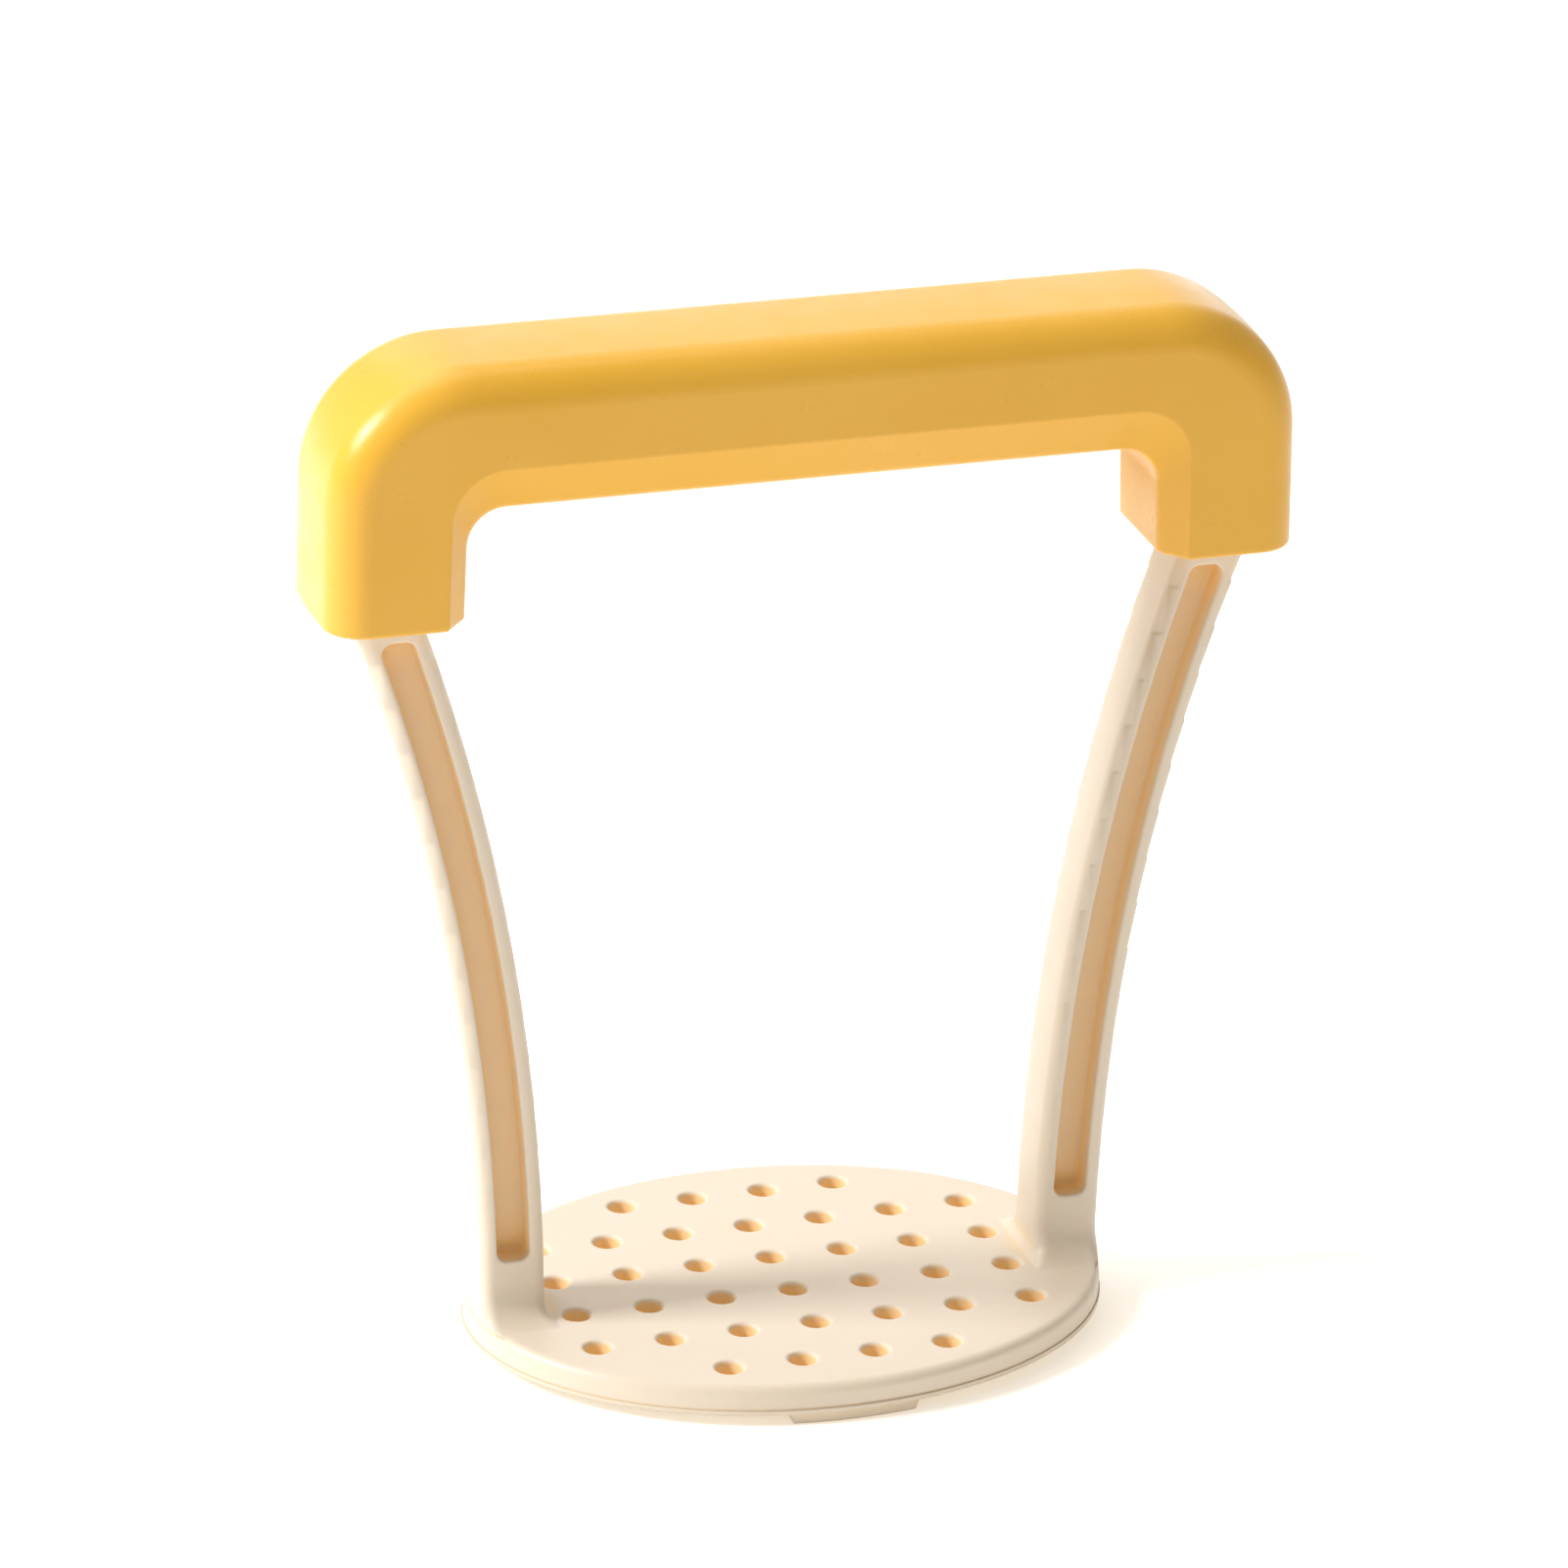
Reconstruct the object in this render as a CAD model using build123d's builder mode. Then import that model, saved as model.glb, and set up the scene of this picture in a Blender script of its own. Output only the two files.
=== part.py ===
"""Small hand masher: an oval perforated plate and two curved legs in one moulding, and a bar grip.

Millimetres. +Z is up, +X runs along the grip and +Y to the back. The origin is under the middle of the
plate, on the surface that the two feet stand on. The masher has no moving pieces.
"""

from build123d import *

import os
from math import radians, sqrt, tan

os.makedirs("parts", exist_ok=True)

# ---- overall sizes ----
TOTAL_HEIGHT = 130.0
GRIP_LENGTH = 120.0
PLATE_LENGTH = 80.0

# ---- plate: an oval disc with a thin lip round the bottom of its rim, and two feet under it ----
PLATE_DEPTH = 62.0
PLATE_THICKNESS = 3.6
LIP_HEIGHT = 0.6
LIP_STEP = 0.15
RIM_ROUND = 1.1
FOOT_HEIGHT = 1.5
FOOT_WIDTH = 16.4
FOOT_THICKNESS = 2.4
FOOT_INSET = 0.5
FOOT_END_SLOPE = 0.55
HOLE_PITCH = 9.2
HOLE_DIAMETER = 3.3
HOLE_EDGE_ROUND = 0.5
LONG_ROWS = (-1.5, -0.5, 0.5, 1.5)
LONG_ROW_HOLES = 7
SHORT_ROWS = (-2.5, 2.5)
SHORT_ROW_HOLES = 4

# ---- legs: curved bars of H section, with walls of about 2 mm throughout ----
LEG_OUTER_X = 39.45
LEG_BEND_RADIUS = 272.0
LEG_THICKNESS = 8.1
LEG_DEPTH = 9.0
LEG_EDGE_ROUND = 1.5
LEG_WALL = 2.0
LEG_WEB = 2.0
INNER_FLARE = 1.4
SIDE_FLARE = 4.0
FLARE_SINK = 0.1
FLARE_INSET = 0.15
GROOVE_START = 8.1
GROOVE_END_GAP = 3.2
GROOVE_END_ROUND = 1.3
GROOVE_FLOOR_ROUND = 0.7
GROOVE_MOUTH_ROUND = 0.3

# ---- tenons: the straight ends of the legs, hidden in the grip ----
TENON_THICKNESS = 6.8
TENON_DEPTH = 7.4
TENON_LENGTH = 23.0
TENON_LEAD_IN = 1.0
TENON_CLEARANCE = 0.15
BEAD_HEIGHT = 0.4
BEAD_LENGTH = 2.4
BEAD_LEVEL = 14.0

# ---- grip: a U of rounded section with a socket at each end ----
GRIP_DEPTH = 20.7
SOCKET_WIDTH = 17.2
SOCKET_DROP = 13.4
BAR_HEIGHT = 18.2
OUTER_LEAN = 0.9
INNER_LEAN = 1.7
OUTER_CORNER = 17.0
INNER_CORNER = 4.8
CROWN_RADIUS = 85.0
OUTER_EDGE_ROUND = 4.8
BAND_HEIGHT = 6.2
BAND_WIDTH = 2.9
BAND_DEPTH = 3.45
BAND_CORNER = 6.8
INNER_EDGE_ROUND = 1.9
SOCKET_RIM_ROUND = 0.5
OVERRUN = 1.0

# ---- inside the grip: the bar is cored from below, and a flush strip closes it ----
STRIP_LENGTH = 73.0
STRIP_WIDTH = 11.0
STRIP_THICKNESS = 2.4
STRIP_CLEARANCE = 0.1
STRIP_EDGE_ROUND = 0.4
STRIP_CORNER = 1.5
STRIP_LEDGE = 1.0
TAB_LENGTH = 6.0
TAB_THICKNESS = 1.2
TAB_HEIGHT = 3.5
ROOF_THICKNESS = 3.6
RIB_THICKNESS = 2.0
RIB_SPACING = 18.0
RIB_COUNT = 3

# ---- levels and places that follow from the sizes above ----
PLATE_BOTTOM = FOOT_HEIGHT
PLATE_TOP = PLATE_BOTTOM + PLATE_THICKNESS
RIM_LENGTH = PLATE_LENGTH - 2 * LIP_STEP
RIM_DEPTH = PLATE_DEPTH - 2 * LIP_STEP
BAR_BOTTOM = TOTAL_HEIGHT - BAR_HEIGHT
SOCKET_BOTTOM = BAR_BOTTOM - SOCKET_DROP
LEG_HEIGHT = SOCKET_BOTTOM - PLATE_TOP
LEG_CENTRE_X = LEG_OUTER_X + LEG_BEND_RADIUS
LEG_INNER_RADIUS = LEG_BEND_RADIUS + LEG_THICKNESS
OUTER_X = GRIP_LENGTH / 2
INNER_X = OUTER_X - SOCKET_WIDTH
OUTER_TOP_X = OUTER_X - (TOTAL_HEIGHT - SOCKET_BOTTOM) * tan(radians(OUTER_LEAN))
INNER_TOP_X = INNER_X - SOCKET_DROP * tan(radians(INNER_LEAN))
STRIP_TOP = BAR_BOTTOM + STRIP_THICKNESS
CORE_LENGTH = STRIP_LENGTH - 2 * STRIP_LEDGE
CORE_WIDTH = STRIP_WIDTH - 2 * STRIP_LEDGE
CORE_HEIGHT = TOTAL_HEIGHT - ROOF_THICKNESS - STRIP_TOP

# ---- levels as the ranges that the selectors take ----
AT_TOP = (TOTAL_HEIGHT, TOTAL_HEIGHT)
AT_PLATE_TOP = (PLATE_TOP, PLATE_TOP)
NEAR = 0.01


def leg_point(radius, height):
    """Point at this radius about the bend's centre, at a height above the plate."""
    return (LEG_CENTRE_X - sqrt(radius**2 - height**2), PLATE_TOP + height)


def leg_outline(near, far, low, high):
    """Draw the outline between two radii of the bend and two heights above the plate."""
    middle = (low + high) / 2
    ThreePointArc(leg_point(near, low), leg_point(near, middle), leg_point(near, high))
    Line(leg_point(near, high), leg_point(far, high))
    ThreePointArc(leg_point(far, high), leg_point(far, middle), leg_point(far, low))
    Line(leg_point(far, low), leg_point(near, low))


def flare_arc(face, radius, outward):
    """Draw the concave arc from a leg's face, in the drawing plane, out and down to the plate."""
    tangent_height = PLATE_TOP + radius - FLARE_SINK
    slant = radius * sqrt(0.5)
    ThreePointArc(
        (face, tangent_height),
        (face + outward * (radius - slant), tangent_height - slant),
        (face + outward * radius, tangent_height - radius),
    )


TENON_X = (leg_point(LEG_BEND_RADIUS, LEG_HEIGHT)[0] + leg_point(LEG_INNER_RADIUS, LEG_HEIGHT)[0]) / 2


def draw_tenon(gap, bead=0.0):
    """Draw the tenon's section at the right leg, with a gap all round and a bead front and back."""
    with Locations((TENON_X, 0)):
        Rectangle(TENON_THICKNESS + 2 * gap, TENON_DEPTH + 2 * (gap + bead))


def on_leg_side(edge):
    """True for an edge that lies in the flat front or back face of a leg."""
    return abs(abs(edge.center().Y) - LEG_DEPTH / 2) < NEAR


def on_band_edge(edge):
    """True for the edges of the finger gap that the sloping band leaves sharp."""
    middle = edge.center()
    at_band = abs(abs(middle.Y) - GRIP_DEPTH / 2 + BAND_DEPTH) < NEAR
    return at_band and abs(middle.X) < INNER_X + NEAR and middle.Z > SOCKET_BOTTOM + NEAR


def finger_gap(grown_out, grown_up, corner):
    """Return the outline of the finger gap, grown sideways and upwards, and open below the sockets."""
    foot_x = INNER_X + grown_out + OVERRUN * tan(radians(INNER_LEAN))
    with BuildSketch() as gap:
        with BuildLine():
            Polyline(
                (foot_x, SOCKET_BOTTOM - OVERRUN),
                (INNER_TOP_X + grown_out, BAR_BOTTOM + grown_up),
                (-INNER_TOP_X - grown_out, BAR_BOTTOM + grown_up),
                (-foot_x, SOCKET_BOTTOM - OVERRUN),
                close=True,
            )
        make_face()
        fillet(gap.vertices().group_by(Axis.Y)[-1], radius=corner)
    return gap.sketch


# ---- leg bar: the curved bar on the right, with concave flares where it stands on the plate ----
with BuildPart() as leg_bar:
    inner_tangent = leg_point(LEG_INNER_RADIUS, INNER_FLARE - FLARE_SINK)
    inner_middle = leg_point(LEG_INNER_RADIUS, LEG_HEIGHT / 2)
    inner_top = leg_point(LEG_INNER_RADIUS, LEG_HEIGHT)
    outer_bottom = leg_point(LEG_BEND_RADIUS, -FLARE_SINK)
    outer_middle = leg_point(LEG_BEND_RADIUS, LEG_HEIGHT / 2)
    outer_top = leg_point(LEG_BEND_RADIUS, LEG_HEIGHT)
    with BuildSketch(Plane.XZ):
        with BuildLine():
            ThreePointArc(outer_bottom, outer_middle, outer_top)
            Line(outer_top, inner_top)
            ThreePointArc(inner_top, inner_middle, inner_tangent)
            flare_arc(inner_tangent[0], INNER_FLARE, outward=-1)
            Line((inner_tangent[0] - INNER_FLARE, outer_bottom[1]), outer_bottom)
        make_face()
    extrude(amount=LEG_DEPTH, both=True)
    with BuildSketch(Plane.YZ):
        with BuildLine():
            side_top = (LEG_DEPTH / 2, SOCKET_BOTTOM)
            side_tangent = (LEG_DEPTH / 2, PLATE_TOP + SIDE_FLARE - FLARE_SINK)
            Line((0, SOCKET_BOTTOM), side_top)
            Line(side_top, side_tangent)
            flare_arc(LEG_DEPTH / 2, SIDE_FLARE, outward=1)
            Line((LEG_DEPTH / 2 + SIDE_FLARE, PLATE_TOP - FLARE_SINK), (0, PLATE_TOP - FLARE_SINK))
            mirror(about=Plane.YZ)
        make_face()
    extrude(amount=GRIP_LENGTH, mode=Mode.INTERSECT)
    long_edges = leg_bar.edges().filter_by(lambda edge: edge.bounding_box().size.Z > INNER_FLARE / 2)
    fillet(long_edges, radius=LEG_EDGE_ROUND)

# ---- plate: the oval disc with its rounded rim, its lip and the two feet ----
with BuildPart() as plate:
    with BuildSketch(Plane.XY.offset(PLATE_BOTTOM)):
        Ellipse(RIM_LENGTH / 2, RIM_DEPTH / 2)
    extrude(amount=PLATE_THICKNESS)
    fillet(plate.faces().sort_by(Axis.Z)[-1].edges(), radius=RIM_ROUND)
    with BuildSketch(Plane.XY.offset(PLATE_BOTTOM)):
        Ellipse(PLATE_LENGTH / 2, PLATE_DEPTH / 2)
    extrude(amount=LIP_HEIGHT)

# ---- feet: two short curved tabs that follow the rim, front and back, with sloping ends ----
with BuildPart() as feet:
    with BuildSketch():
        Ellipse(RIM_LENGTH / 2 - FOOT_INSET, RIM_DEPTH / 2 - FOOT_INSET)
        Ellipse(
            RIM_LENGTH / 2 - FOOT_INSET - FOOT_THICKNESS,
            RIM_DEPTH / 2 - FOOT_INSET - FOOT_THICKNESS,
            mode=Mode.SUBTRACT,
        )
    extrude(amount=PLATE_BOTTOM + LIP_HEIGHT)
    with BuildSketch(Plane.XZ):
        with BuildLine():
            Polyline(
                (FOOT_WIDTH / 2 - FOOT_END_SLOPE, 0),
                (FOOT_WIDTH / 2, PLATE_BOTTOM),
                (FOOT_WIDTH / 2, PLATE_TOP),
                (-FOOT_WIDTH / 2, PLATE_TOP),
                (-FOOT_WIDTH / 2, PLATE_BOTTOM),
                (-FOOT_WIDTH / 2 + FOOT_END_SLOPE, 0),
                close=True,
            )
        make_face()
    extrude(amount=PLATE_DEPTH / 2, both=True, mode=Mode.INTERSECT)

# ---- groove: what is taken out of the front of the leg, with rounded floor edges ----
with BuildPart() as groove:
    with BuildSketch(Plane.XZ.offset(LEG_WEB / 2)) as groove_outline:
        with BuildLine():
            leg_outline(
                LEG_BEND_RADIUS + LEG_WALL,
                LEG_INNER_RADIUS - LEG_WALL,
                GROOVE_START,
                LEG_HEIGHT - GROOVE_END_GAP,
            )
        make_face()
        fillet(groove_outline.vertices(), radius=GROOVE_END_ROUND)
    extrude(amount=LEG_DEPTH)
    fillet(groove.faces().sort_by(Axis.Y)[-1].edges(), radius=GROOVE_FLOOR_ROUND)

# ---- masher body: plate, feet, legs and tenons in one moulding ----
with BuildPart() as masher_body:
    add(leg_bar.part)

    # the flares end at the rim of the plate
    with BuildSketch(Plane.XY):
        Rectangle(GRIP_LENGTH, PLATE_DEPTH)
        Ellipse(RIM_LENGTH / 2 - FLARE_INSET, RIM_DEPTH / 2 - FLARE_INSET, mode=Mode.SUBTRACT)
    extrude(amount=PLATE_TOP + SIDE_FLARE, mode=Mode.SUBTRACT)

    # the grooves down the front and the back of the leg, with rounded mouths
    for pocket in (groove.part, groove.part.mirror(Plane.XZ)):
        add(pocket, mode=Mode.SUBTRACT)
        fillet(masher_body.edges(Select.LAST).filter_by(on_leg_side), radius=GROOVE_MOUTH_ROUND)

    # the tenon, with a bead that snaps into the grip
    with BuildSketch(Plane.XY.offset(SOCKET_BOTTOM)):
        draw_tenon(gap=0)
    extrude(amount=TENON_LENGTH)
    chamfer(masher_body.faces().sort_by(Axis.Z)[-1].edges(), length=TENON_LEAD_IN)
    with BuildSketch(Plane.XY.offset(SOCKET_BOTTOM + BEAD_LEVEL)):
        draw_tenon(gap=0, bead=BEAD_HEIGHT)
    extrude(amount=BEAD_LENGTH)
    mirror(about=Plane.YZ)

    add(plate.part)
    add(feet.part)

    # the mashing holes, with rounded upper edges
    with BuildSketch(Plane.XY) as holes:
        for row in LONG_ROWS:
            with Locations((0, row * HOLE_PITCH)):
                with GridLocations(HOLE_PITCH, 0, LONG_ROW_HOLES, 1):
                    Circle(HOLE_DIAMETER / 2)
        for row in SHORT_ROWS:
            with Locations((0, row * HOLE_PITCH)):
                with GridLocations(HOLE_PITCH, 0, SHORT_ROW_HOLES, 1):
                    Circle(HOLE_DIAMETER / 2)
    extrude(amount=PLATE_TOP, mode=Mode.SUBTRACT)
    hole_edges = masher_body.edges(Select.LAST).filter_by_position(Axis.Z, *AT_PLATE_TOP)
    fillet(hole_edges, radius=HOLE_EDGE_ROUND)
masher_body.part.label = "masher_body"
export_step(masher_body.part, "parts/masher_body.step")

# ---- grip edge: what is cut off all along the outside, to leave it crowned with rounded edges ----
with BuildLine(Plane.XZ) as edge_line:
    start_x = OUTER_X + OVERRUN * tan(radians(OUTER_LEAN))
    FilletPolyline(
        (start_x, SOCKET_BOTTOM - OVERRUN),
        (OUTER_TOP_X, TOTAL_HEIGHT),
        (-OUTER_TOP_X, TOTAL_HEIGHT),
        (-start_x, SOCKET_BOTTOM - OVERRUN),
        radius=OUTER_CORNER,
    )
edge_path = edge_line.wire()
with BuildPart() as grip_edge:
    with BuildSketch(Plane(origin=edge_path @ 0, x_dir=(0, 1, 0), z_dir=edge_path % 0)):
        Rectangle(GRIP_DEPTH + 2 * OVERRUN, 2 * (OUTER_EDGE_ROUND + OVERRUN))
        with BuildSketch(mode=Mode.SUBTRACT) as crowned:
            Rectangle(GRIP_DEPTH, 2 * OUTER_CORNER)
            with Locations((0, CROWN_RADIUS)):
                Circle(CROWN_RADIUS, mode=Mode.INTERSECT)
            fillet(crowned.vertices().group_by(Axis.Y)[0], radius=OUTER_EDGE_ROUND)
    sweep(path=edge_path)

# ---- gap band: what is cut off round the finger gap in front, to leave a sloping band ----
with BuildPart() as gap_band:
    with BuildSketch(Plane.XZ.offset(GRIP_DEPTH / 2 - BAND_DEPTH)):
        add(finger_gap(0, 0, INNER_CORNER))
    with BuildSketch(Plane.XZ.offset(GRIP_DEPTH / 2)):
        add(finger_gap(BAND_WIDTH, BAND_HEIGHT, BAND_CORNER))
    loft(ruled=True)

# ---- grip shell: the U with its sockets, cored from below ----
with BuildPart() as grip_shell:
    with BuildSketch(Plane.XZ) as grip_side:
        with BuildLine():
            Polyline(
                (OUTER_X, SOCKET_BOTTOM),
                (OUTER_TOP_X, TOTAL_HEIGHT),
                (-OUTER_TOP_X, TOTAL_HEIGHT),
                (-OUTER_X, SOCKET_BOTTOM),
                close=True,
            )
        make_face()
        fillet(grip_side.vertices().filter_by_position(Axis.Y, *AT_TOP), radius=OUTER_CORNER)
        add(finger_gap(0, 0, INNER_CORNER), mode=Mode.SUBTRACT)
    extrude(amount=GRIP_DEPTH / 2, both=True)
    add(grip_edge.part, mode=Mode.SUBTRACT)
    add(gap_band.part, mode=Mode.SUBTRACT)
    add(gap_band.part.mirror(Plane.XZ), mode=Mode.SUBTRACT)
    fillet(grip_shell.edges().filter_by(on_band_edge), radius=INNER_EDGE_ROUND)
    fillet(grip_shell.faces().group_by(Axis.Z)[0].edges(), radius=SOCKET_RIM_ROUND)

    # the socket bores, each with a groove for the tenon's bead
    with BuildSketch(Plane.XY.offset(SOCKET_BOTTOM)):
        draw_tenon(gap=TENON_CLEARANCE)
        mirror(about=Plane.YZ)
    extrude(amount=TENON_LENGTH, mode=Mode.SUBTRACT)
    with BuildSketch(Plane.XY.offset(SOCKET_BOTTOM + BEAD_LEVEL)):
        draw_tenon(gap=TENON_CLEARANCE, bead=BEAD_HEIGHT)
        mirror(about=Plane.YZ)
    extrude(amount=BEAD_LENGTH + TENON_CLEARANCE, mode=Mode.SUBTRACT)

    # the pocket for the underside strip, and the core above it with its cross ribs
    with BuildSketch(Plane.XY.offset(BAR_BOTTOM)):
        RectangleRounded(
            STRIP_LENGTH + 2 * STRIP_CLEARANCE,
            STRIP_WIDTH + 2 * STRIP_CLEARANCE,
            STRIP_CORNER + STRIP_CLEARANCE,
        )
    extrude(amount=STRIP_THICKNESS, mode=Mode.SUBTRACT)
    with BuildSketch(Plane.XY.offset(STRIP_TOP)):
        Rectangle(CORE_LENGTH, CORE_WIDTH)
        with GridLocations(RIB_SPACING, 0, RIB_COUNT, 1):
            Rectangle(RIB_THICKNESS, CORE_WIDTH, mode=Mode.SUBTRACT)
    extrude(amount=CORE_HEIGHT, mode=Mode.SUBTRACT)
grip_shell.part.label = "grip_shell"
export_step(grip_shell.part, "parts/grip_shell.step")

# ---- grip underside strip: closes the core, held by press tabs between the ribs ----
with BuildPart() as grip_underside_strip:
    with BuildSketch(Plane.XY.offset(BAR_BOTTOM)):
        RectangleRounded(STRIP_LENGTH, STRIP_WIDTH, STRIP_CORNER)
    extrude(amount=STRIP_THICKNESS)
    fillet(grip_underside_strip.faces().sort_by(Axis.Z)[0].edges(), radius=STRIP_EDGE_ROUND)
    with BuildSketch(Plane.XY.offset(STRIP_TOP)):
        with GridLocations(RIB_SPACING, CORE_WIDTH - TAB_THICKNESS, RIB_COUNT + 1, 2):
            Rectangle(TAB_LENGTH, TAB_THICKNESS)
    extrude(amount=TAB_HEIGHT)
grip_underside_strip.part.label = "grip_underside_strip"
export_step(grip_underside_strip.part, "parts/grip_underside_strip.step")
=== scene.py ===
"""The looks of the small hand masher: satin moulded plastics, a pale floor, soft light and the camera."""

from math import cos, radians, sin

import bpy
from mathutils import Matrix, Vector

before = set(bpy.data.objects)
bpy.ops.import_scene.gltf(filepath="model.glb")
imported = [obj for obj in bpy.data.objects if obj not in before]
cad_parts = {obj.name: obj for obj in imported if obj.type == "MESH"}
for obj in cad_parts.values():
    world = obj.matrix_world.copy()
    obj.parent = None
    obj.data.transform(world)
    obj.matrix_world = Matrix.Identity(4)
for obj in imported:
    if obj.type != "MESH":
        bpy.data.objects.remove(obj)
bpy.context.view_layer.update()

MM = 0.001

# ---- where the camera stands: turned to the left of the front, above, and slightly rolled ----
CAMERA_TURN = radians(-17.83)
CAMERA_RISE = radians(22.94)
CAMERA_ROLL = radians(1.24)
CAMERA_DISTANCE = 1071.2 * MM
CAMERA_LENS = 200.2
PLATE_TOP = 5.1 * MM
AIM_SIDE = 0.23 * MM
AIM_UP = 59.97 * MM

# ---- the plastics' surface: sizes of the noise patterns and of the softened edges ----
FLOW_SCALE = 38.0
CLOUD_SCALE = 170.0
GRAIN_SCALE = 2600.0
EDGE_RADIUS = 0.5 * MM
RIPPLE_HEIGHT = 0.6 * MM
GRAIN_HEIGHT = 0.02 * MM
SCATTER_DEPTH = 1.2 * MM

# ---- the studio ----
FLOOR_HALF = 3.0
FLOOR_GLOW = 0.35
PANEL_AIM_HEIGHT = 60 * MM


def add_camera():
    """A long lens that looks at a point above the middle of the plate."""
    back = Vector(
        (
            sin(CAMERA_TURN) * cos(CAMERA_RISE),
            -cos(CAMERA_TURN) * cos(CAMERA_RISE),
            sin(CAMERA_RISE),
        )
    )
    level = Vector((cos(CAMERA_TURN), sin(CAMERA_TURN), 0))
    upright = back.cross(level)
    side = level * cos(CAMERA_ROLL) + upright * sin(CAMERA_ROLL)
    up = upright * cos(CAMERA_ROLL) - level * sin(CAMERA_ROLL)
    place = Vector((0, 0, PLATE_TOP)) + back * CAMERA_DISTANCE + side * AIM_SIDE + up * AIM_UP
    data = bpy.data.cameras.new("camera")
    data.lens = CAMERA_LENS
    data.sensor_width = 36
    data.clip_start = 0.01
    data.clip_end = 50
    camera = bpy.data.objects.new("camera", data)
    axes = Matrix((side, up, back)).transposed()
    camera.matrix_world = Matrix.Translation(place) @ axes.to_4x4()
    bpy.context.collection.objects.link(camera)
    bpy.context.scene.camera = camera


class Nodes:
    """A material's node tree, with short ways to add a node and to link into it."""

    def __init__(self, name):
        self.material = bpy.data.materials.new(name)
        self.material.use_nodes = True
        self.tree = self.material.node_tree
        self.tree.nodes.clear()

    def add(self, kind, settings=None, **inputs):
        node = self.tree.nodes.new("ShaderNode" + kind)
        for key, value in (settings or {}).items():
            setattr(node, key, value)
        for key, value in inputs.items():
            by_number = key[0] == "i" and key[1:].isdigit()
            socket = node.inputs[int(key[1:])] if by_number else node.inputs[key.replace("_", " ")]
            if isinstance(value, bpy.types.NodeSocket):
                self.tree.links.new(value, socket)
            else:
                socket.default_value = value
        return node

    def spread(self, value, low_in, high_in, low_out, high_out):
        """Maps a value from one range to another, smoothly and clamped."""
        node = self.add(
            "MapRange",
            {"interpolation_type": "SMOOTHSTEP"},
            Value=value,
            From_Min=low_in,
            From_Max=high_in,
            To_Min=low_out,
            To_Max=high_out,
        )
        return node.outputs["Result"]

    def blend(self, amount, first, second):
        """Mixes two colours."""
        node = self.add("Mix", {"data_type": "RGBA"}, i0=amount, i6=first, i7=second)
        return node.outputs[2]


def satin_plastic(name, base, pale, hollow_shade, deep_shade, reach, shaded, roughness, sheen, scatter):
    """Moulded polypropylene: fine grain, faint flow marks, a painted highlight that makes the edges paler,
    and painted shade with warm bounce light in recesses, which are also duller.
    """
    nodes = Nodes(name)
    where = nodes.add("TexCoord").outputs["Object"]

    flow = nodes.add("TexNoise", Vector=where, Scale=FLOW_SCALE, Detail=3.0, Roughness=0.5).outputs["Fac"]
    cloud = nodes.add("TexNoise", Vector=where, Scale=CLOUD_SCALE, Detail=4.0, Roughness=0.6).outputs["Fac"]
    grain = nodes.add("TexNoise", Vector=where, Scale=GRAIN_SCALE, Detail=2.0, Roughness=0.5).outputs["Fac"]

    soft_normal = nodes.add("Bevel", {"samples": 4}, Radius=EDGE_RADIUS).outputs["Normal"]
    true_normal = nodes.add("NewGeometry").outputs["Normal"]
    product = nodes.add("VectorMath", {"operation": "DOT_PRODUCT"}, i0=soft_normal, i1=true_normal)
    turned = product.outputs["Value"]
    # painted highlight: along edges, where the bevelled normal turns away from the true one, the colour is
    # painted paler
    edge_highlight = nodes.spread(turned, 0.8, 0.995, 0.2, 0.0)

    enclosed = nodes.add("AmbientOcclusion", {"samples": 8, "only_local": True}, Distance=reach)
    open_air = enclosed.outputs["AO"]

    colour = nodes.blend(nodes.spread(flow, 0.35, 0.65, 0.0, 0.35), base, pale)
    colour = nodes.blend(edge_highlight, colour, pale)
    # painted shade and warm bounce light: where ambient occlusion finds the surface enclosed, the colour
    # turns to the hollow colour, then the deep one
    colour = nodes.blend(nodes.spread(open_air, 0.45, shaded, 1.0, 0.0), colour, hollow_shade)
    colour = nodes.blend(nodes.spread(open_air, 0.15, 0.45, 1.0, 0.0), colour, deep_shade)

    rough = nodes.spread(cloud, 0.3, 0.7, roughness - 0.05, roughness + 0.06)
    mirror = nodes.spread(open_air, 0.7, 0.98, 0.05, 0.5)
    haze = nodes.spread(open_air, 0.7, 0.98, 0.0, sheen)

    ripple = nodes.add("Bump", Strength=0.05, Distance=RIPPLE_HEIGHT, Height=flow, Normal=soft_normal)
    grained = nodes.add("Bump", Strength=0.10, Distance=GRAIN_HEIGHT, Height=grain, Normal=ripple.outputs[0])

    shader = nodes.add(
        "BsdfPrincipled",
        Base_Color=colour,
        Roughness=rough,
        Specular_IOR_Level=mirror,
        Sheen_Weight=haze,
        Normal=grained.outputs[0],
    )
    shader.inputs["IOR"].default_value = 1.5
    shader.inputs["Sheen Roughness"].default_value = 0.35
    shader.inputs["Subsurface Weight"].default_value = scatter
    shader.inputs["Subsurface Radius"].default_value = (1.0, 0.6, 0.25)
    shader.inputs["Subsurface Scale"].default_value = SCATTER_DEPTH
    nodes.add("OutputMaterial", Surface=shader.outputs[0])
    return nodes.material


def dress(node_name, material):
    """Gives a CAD node its material."""
    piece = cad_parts[node_name]
    piece.data.materials.clear()
    piece.data.materials.append(material)


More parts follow.
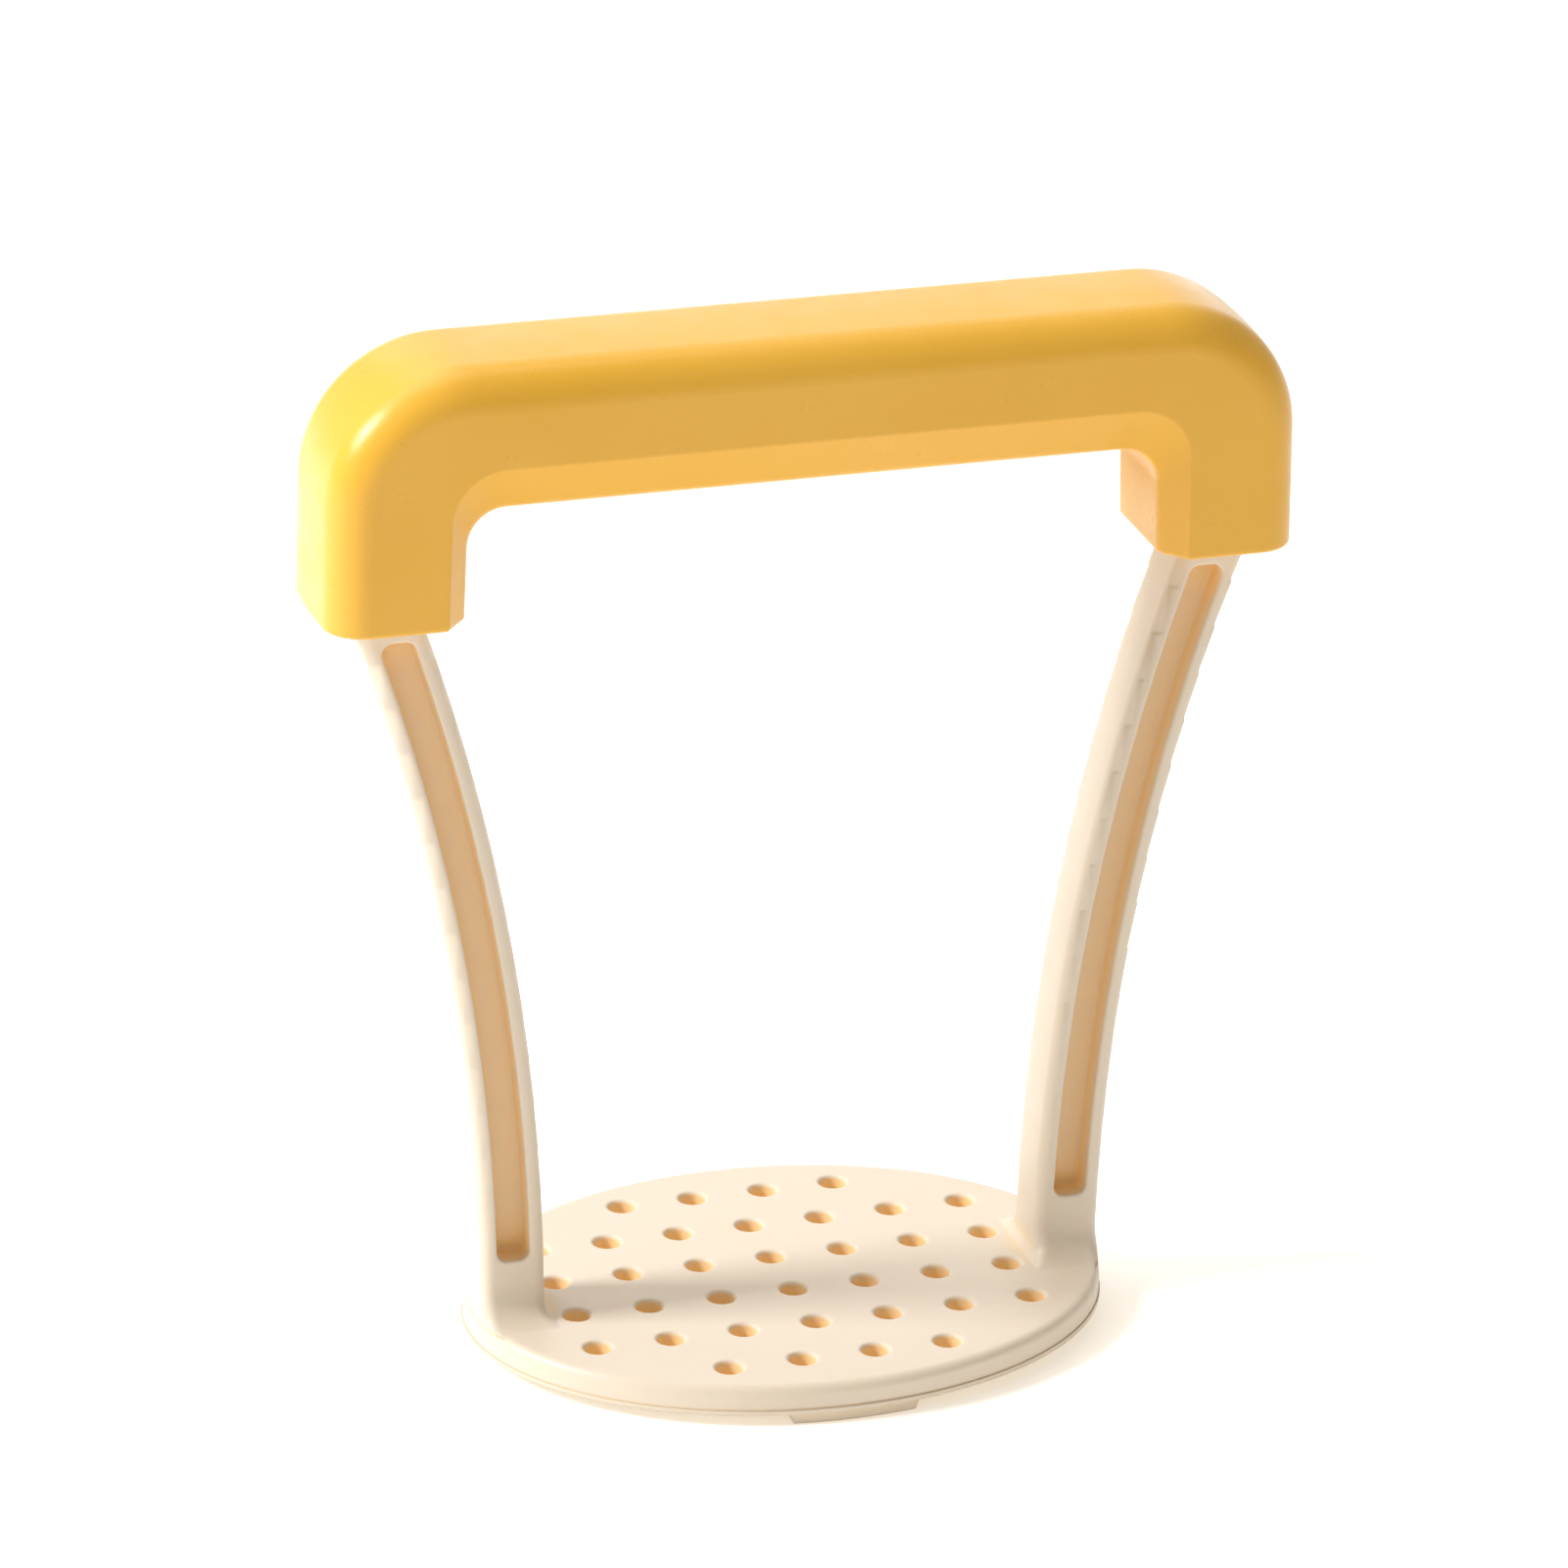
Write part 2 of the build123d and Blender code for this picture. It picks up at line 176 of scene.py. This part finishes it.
def add_floor():
    """A wide pale floor under the feet, which glows a little so that shadows on it stay faint."""
    nodes = Nodes("floor")
    where = nodes.add("TexCoord").outputs["Object"]
    mottle = nodes.add("TexNoise", Vector=where, Scale=9.0, Detail=3.0).outputs["Fac"]
    colour = nodes.blend(mottle, (0.93, 0.93, 0.925, 1), (0.95, 0.95, 0.95, 1))
    shader = nodes.add("BsdfPrincipled", Base_Color=colour, Roughness=0.85)
    shader.inputs["Emission Color"].default_value = (1.0, 0.92, 0.78, 1)
    shader.inputs["Emission Strength"].default_value = FLOOR_GLOW
    nodes.add("OutputMaterial", Surface=shader.outputs[0])
    mesh = bpy.data.meshes.new("floor")
    corners = [(FLOOR_HALF * x, FLOOR_HALF * y, 0) for x, y in ((-1, -1), (1, -1), (1, 1), (-1, 1))]
    mesh.from_pydata(corners, [], [(0, 1, 2, 3)])
    mesh.materials.append(nodes.material)
    floor = bpy.data.objects.new("floor", mesh)
    bpy.context.collection.objects.link(floor)


def add_panel(name, turn, rise, distance, size, watts):
    """A square soft light that faces the middle of the masher, turned about +Z from the front and raised."""
    middle = Vector((0, 0, PANEL_AIM_HEIGHT))
    away = Vector((sin(turn) * cos(rise), -cos(turn) * cos(rise), sin(rise)))
    data = bpy.data.lights.new(name, "AREA")
    data.shape = "SQUARE"
    data.size = size
    data.energy = watts
    light = bpy.data.objects.new(name, data)
    facing = away.to_track_quat("Z", "Y").to_matrix().to_4x4()
    light.matrix_world = Matrix.Translation(middle + away * distance) @ facing
    bpy.context.collection.objects.link(light)


def add_world(strength):
    """An even, slightly warm light from all round."""
    world = bpy.data.worlds.new("studio")
    world.use_nodes = True
    background = world.node_tree.nodes["Background"]
    background.inputs["Color"].default_value = (1.0, 0.95, 0.87, 1)
    background.inputs["Strength"].default_value = strength
    bpy.context.scene.world = world


cream = satin_plastic(
    "cream_plastic",
    base=(0.67, 0.585, 0.475, 1),
    pale=(0.68, 0.60, 0.50, 1),
    # hollow and deep colours: painted shade and golden bounce light in the cream's grooves and holes
    hollow_shade=(0.86, 0.64, 0.38, 1),
    deep_shade=(0.95, 0.62, 0.20, 1),
    reach=5 * MM,
    shaded=0.85,
    roughness=0.42,
    sheen=0.25,
    scatter=0.15,
)
yellow = satin_plastic(
    "yellow_plastic",
    base=(0.72, 0.385, 0.027, 1),
    pale=(0.76, 0.43, 0.05, 1),
    # hollow and deep colours: painted shade, darker, on the yellow's inner faces and recesses
    hollow_shade=(0.50, 0.21, 0.008, 1),
    deep_shade=(0.50, 0.20, 0.008, 1),
    reach=25 * MM,
    shaded=0.98,
    roughness=0.32,
    sheen=0.3,
    scatter=0.1,
)
dress("masher_body", cream)
dress("grip_shell", yellow)
dress("grip_underside_strip", yellow)
add_floor()
add_world(0.5)
add_panel("key", turn=radians(-96), rise=radians(36), distance=1.2, size=0.28, watts=15.0)
add_panel("top", turn=radians(-150), rise=radians(68), distance=1.3, size=1.0, watts=6.0)
add_panel("back", turn=radians(162), rise=radians(23), distance=1.2, size=1.2, watts=3.4)
add_camera()
bpy.context.scene.view_settings.view_transform = "Standard"
